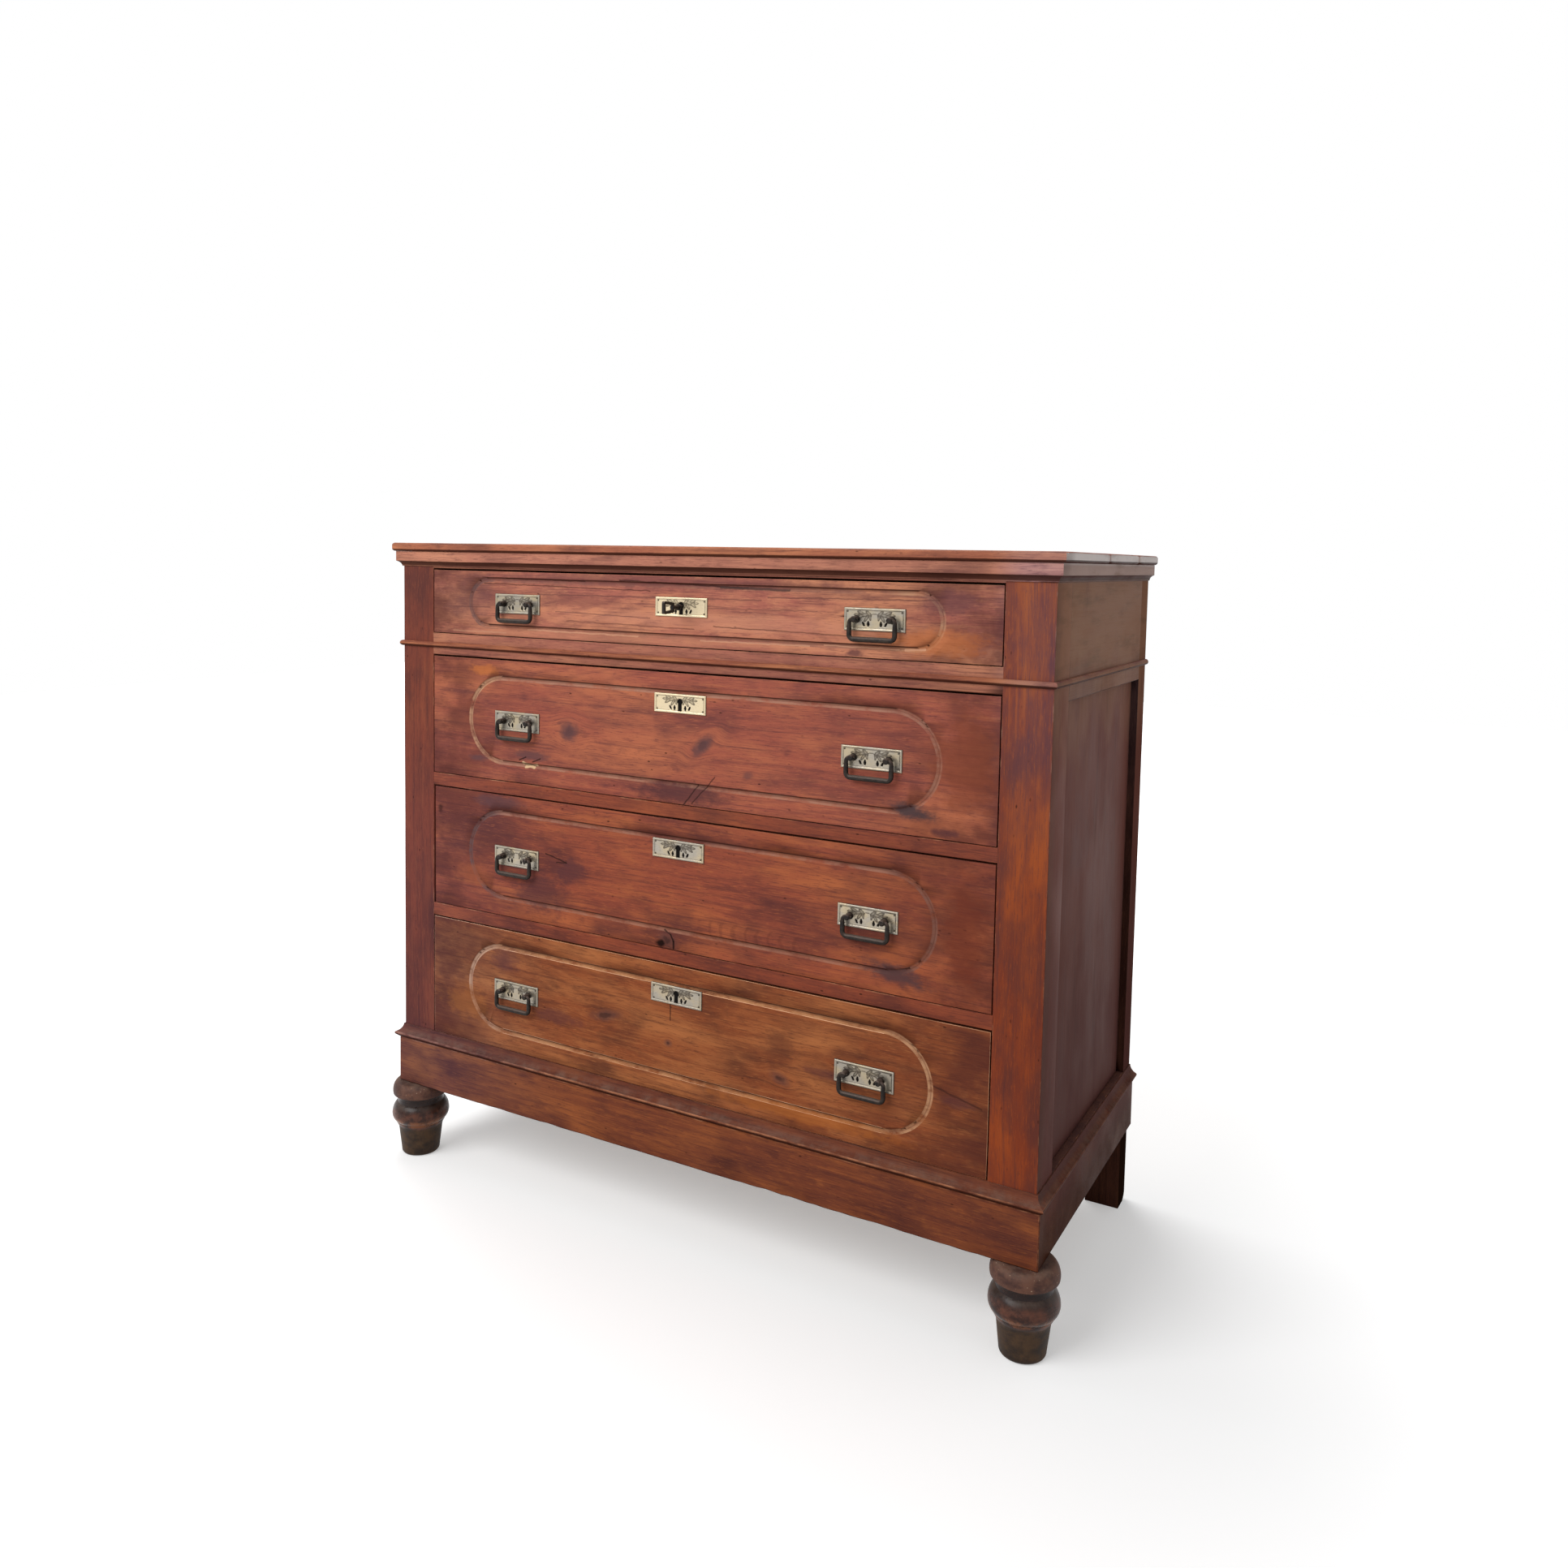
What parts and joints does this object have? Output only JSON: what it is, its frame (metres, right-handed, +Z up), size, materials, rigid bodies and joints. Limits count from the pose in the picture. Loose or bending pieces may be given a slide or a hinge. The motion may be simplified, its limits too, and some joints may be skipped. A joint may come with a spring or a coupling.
{
  "type": "chest of drawers",
  "caption": "Flush-fronted chest of drawers in stained softwood with panelled sides, turned front feet, sliding dovetailed drawers, swinging bail handles and a key that lifts a lock bolt.",
  "frame": {"origin": "on the floor, under the middle of the whole chest with its key", "axes": "+X along the front to the user's right, -Y out of the front towards the user, +Z up"},
  "size_m": [1.053, 0.477, 0.9385],
  "materials": {
    "stained_pine": "worn satin stain and wax",
    "bare_pine": "bare aged softwood",
    "dark_turned_wood": "dark stained, turned",
    "nickel_plate": "stamped and tarnished",
    "black_iron": "blackened"
  },
  "bodies": {
    "case": {"front_right_foot": "dark_turned_wood", "front_left_foot": "dark_turned_wood", "front_right_post": "stained_pine", "front_left_post": "stained_pine", "rear_right_post": "stained_pine", "rear_left_post": "stained_pine", "frieze_boards": "stained_pine", "side_bottom_rails": "bare_pine", "right_side_panel": "stained_pine", "left_side_panel": "stained_pine", "drawer_rails": "stained_pine", "bottom_front_rail": "stained_pine", "back_rails": "bare_pine", "bottom_board": "bare_pine", "drawer_runners": "bare_pine", "drawer_stops": "bare_pine", "back_boards": "bare_pine", "plinth": "stained_pine", "base_cap": "stained_pine", "bead_moulding": "stained_pine", "top_moulding": "stained_pine", "top_board": "stained_pine"},
    "drawer_1": {"drawer_1_front": "stained_pine", "drawer_1_sides": "bare_pine", "drawer_1_back": "bare_pine", "drawer_1_bottom": "bare_pine", "drawer_1_plates": "nickel_plate", "drawer_1_posts": "black_iron", "drawer_1_lock": "black_iron"},
    "drawer_1_left_bail": {"drawer_1_left_bail": "black_iron"},
    "drawer_1_right_bail": {"drawer_1_right_bail": "black_iron"},
    "drawer_2": {"drawer_2_front": "stained_pine", "drawer_2_sides": "bare_pine", "drawer_2_back": "bare_pine", "drawer_2_bottom": "bare_pine", "drawer_2_plates": "nickel_plate", "drawer_2_posts": "black_iron", "drawer_2_lock": "black_iron"},
    "drawer_2_left_bail": {"drawer_2_left_bail": "black_iron"},
    "drawer_2_right_bail": {"drawer_2_right_bail": "black_iron"},
    "drawer_3": {"drawer_3_front": "stained_pine", "drawer_3_sides": "bare_pine", "drawer_3_back": "bare_pine", "drawer_3_bottom": "bare_pine", "drawer_3_plates": "nickel_plate", "drawer_3_posts": "black_iron", "drawer_3_lock": "black_iron"},
    "drawer_3_left_bail": {"drawer_3_left_bail": "black_iron"},
    "drawer_3_right_bail": {"drawer_3_right_bail": "black_iron"},
    "drawer_4": {"drawer_4_front": "stained_pine", "drawer_4_sides": "bare_pine", "drawer_4_back": "bare_pine", "drawer_4_bottom": "bare_pine", "drawer_4_plates": "nickel_plate", "drawer_4_posts": "black_iron", "drawer_4_lock": "black_iron"},
    "drawer_4_left_bail": {"drawer_4_left_bail": "black_iron"},
    "drawer_4_right_bail": {"drawer_4_right_bail": "black_iron"},
    "drawer_1_bolt": {"drawer_1_bolt": "black_iron"},
    "drawer_1_key": {"drawer_1_key": "black_iron"}
  },
  "joints": [
    {"name": "drawer_1_slide", "type": "slide", "parent": "case", "child": "drawer_1", "axis": [0, -1, 0], "range_m": [0, 0.3]},
    {"name": "drawer_1_left_bail_swing", "type": "hinge", "parent": "drawer_1", "child": "drawer_1_left_bail", "pos_m": [-0.278, -0.205, 0.854], "axis": [-1, 0, 0], "range_deg": [-6, 170]},
    {"name": "drawer_1_right_bail_swing", "type": "hinge", "parent": "drawer_1", "child": "drawer_1_right_bail", "pos_m": [0.278, -0.205, 0.854], "axis": [-1, 0, 0], "range_deg": [-6, 170]},
    {"name": "drawer_2_slide", "type": "slide", "parent": "case", "child": "drawer_2", "axis": [0, -1, 0], "range_m": [0, 0.3]},
    {"name": "drawer_2_left_bail_swing", "type": "hinge", "parent": "drawer_2", "child": "drawer_2_left_bail", "pos_m": [-0.278, -0.205, 0.68625], "axis": [-1, 0, 0], "range_deg": [-6, 170]},
    {"name": "drawer_2_right_bail_swing", "type": "hinge", "parent": "drawer_2", "child": "drawer_2_right_bail", "pos_m": [0.278, -0.205, 0.68625], "axis": [-1, 0, 0], "range_deg": [-6, 170]},
    {"name": "drawer_3_slide", "type": "slide", "parent": "case", "child": "drawer_3", "axis": [0, -1, 0], "range_m": [0, 0.3]},
    {"name": "drawer_3_left_bail_swing", "type": "hinge", "parent": "drawer_3", "child": "drawer_3_left_bail", "pos_m": [-0.278, -0.205, 0.49], "axis": [-1, 0, 0], "range_deg": [-6, 170]},
    {"name": "drawer_3_right_bail_swing", "type": "hinge", "parent": "drawer_3", "child": "drawer_3_right_bail", "pos_m": [0.278, -0.205, 0.49], "axis": [-1, 0, 0], "range_deg": [-6, 170]},
    {"name": "drawer_4_slide", "type": "slide", "parent": "case", "child": "drawer_4", "axis": [0, -1, 0], "range_m": [0, 0.3]},
    {"name": "drawer_4_left_bail_swing", "type": "hinge", "parent": "drawer_4", "child": "drawer_4_left_bail", "pos_m": [-0.278, -0.205, 0.292], "axis": [-1, 0, 0], "range_deg": [-6, 170]},
    {"name": "drawer_4_right_bail_swing", "type": "hinge", "parent": "drawer_4", "child": "drawer_4_right_bail", "pos_m": [0.278, -0.205, 0.292], "axis": [-1, 0, 0], "range_deg": [-6, 170]},
    {"name": "drawer_1_key_turn", "type": "hinge", "parent": "drawer_1", "child": "drawer_1_key", "pos_m": [0, -0.1965, 0.8595], "axis": [0, 1, 0], "range_deg": [0, 170]},
    {"name": "drawer_1_bolt_slide", "type": "slide", "parent": "drawer_1", "child": "drawer_1_bolt", "axis": [0, 0, 1], "range_m": [0, 0.008]}
  ],
  "couplings": [
    {"joint": "drawer_1_key_turn", "follows": "drawer_1_bolt_slide", "rad_per_m": 370.88}
  ]
}
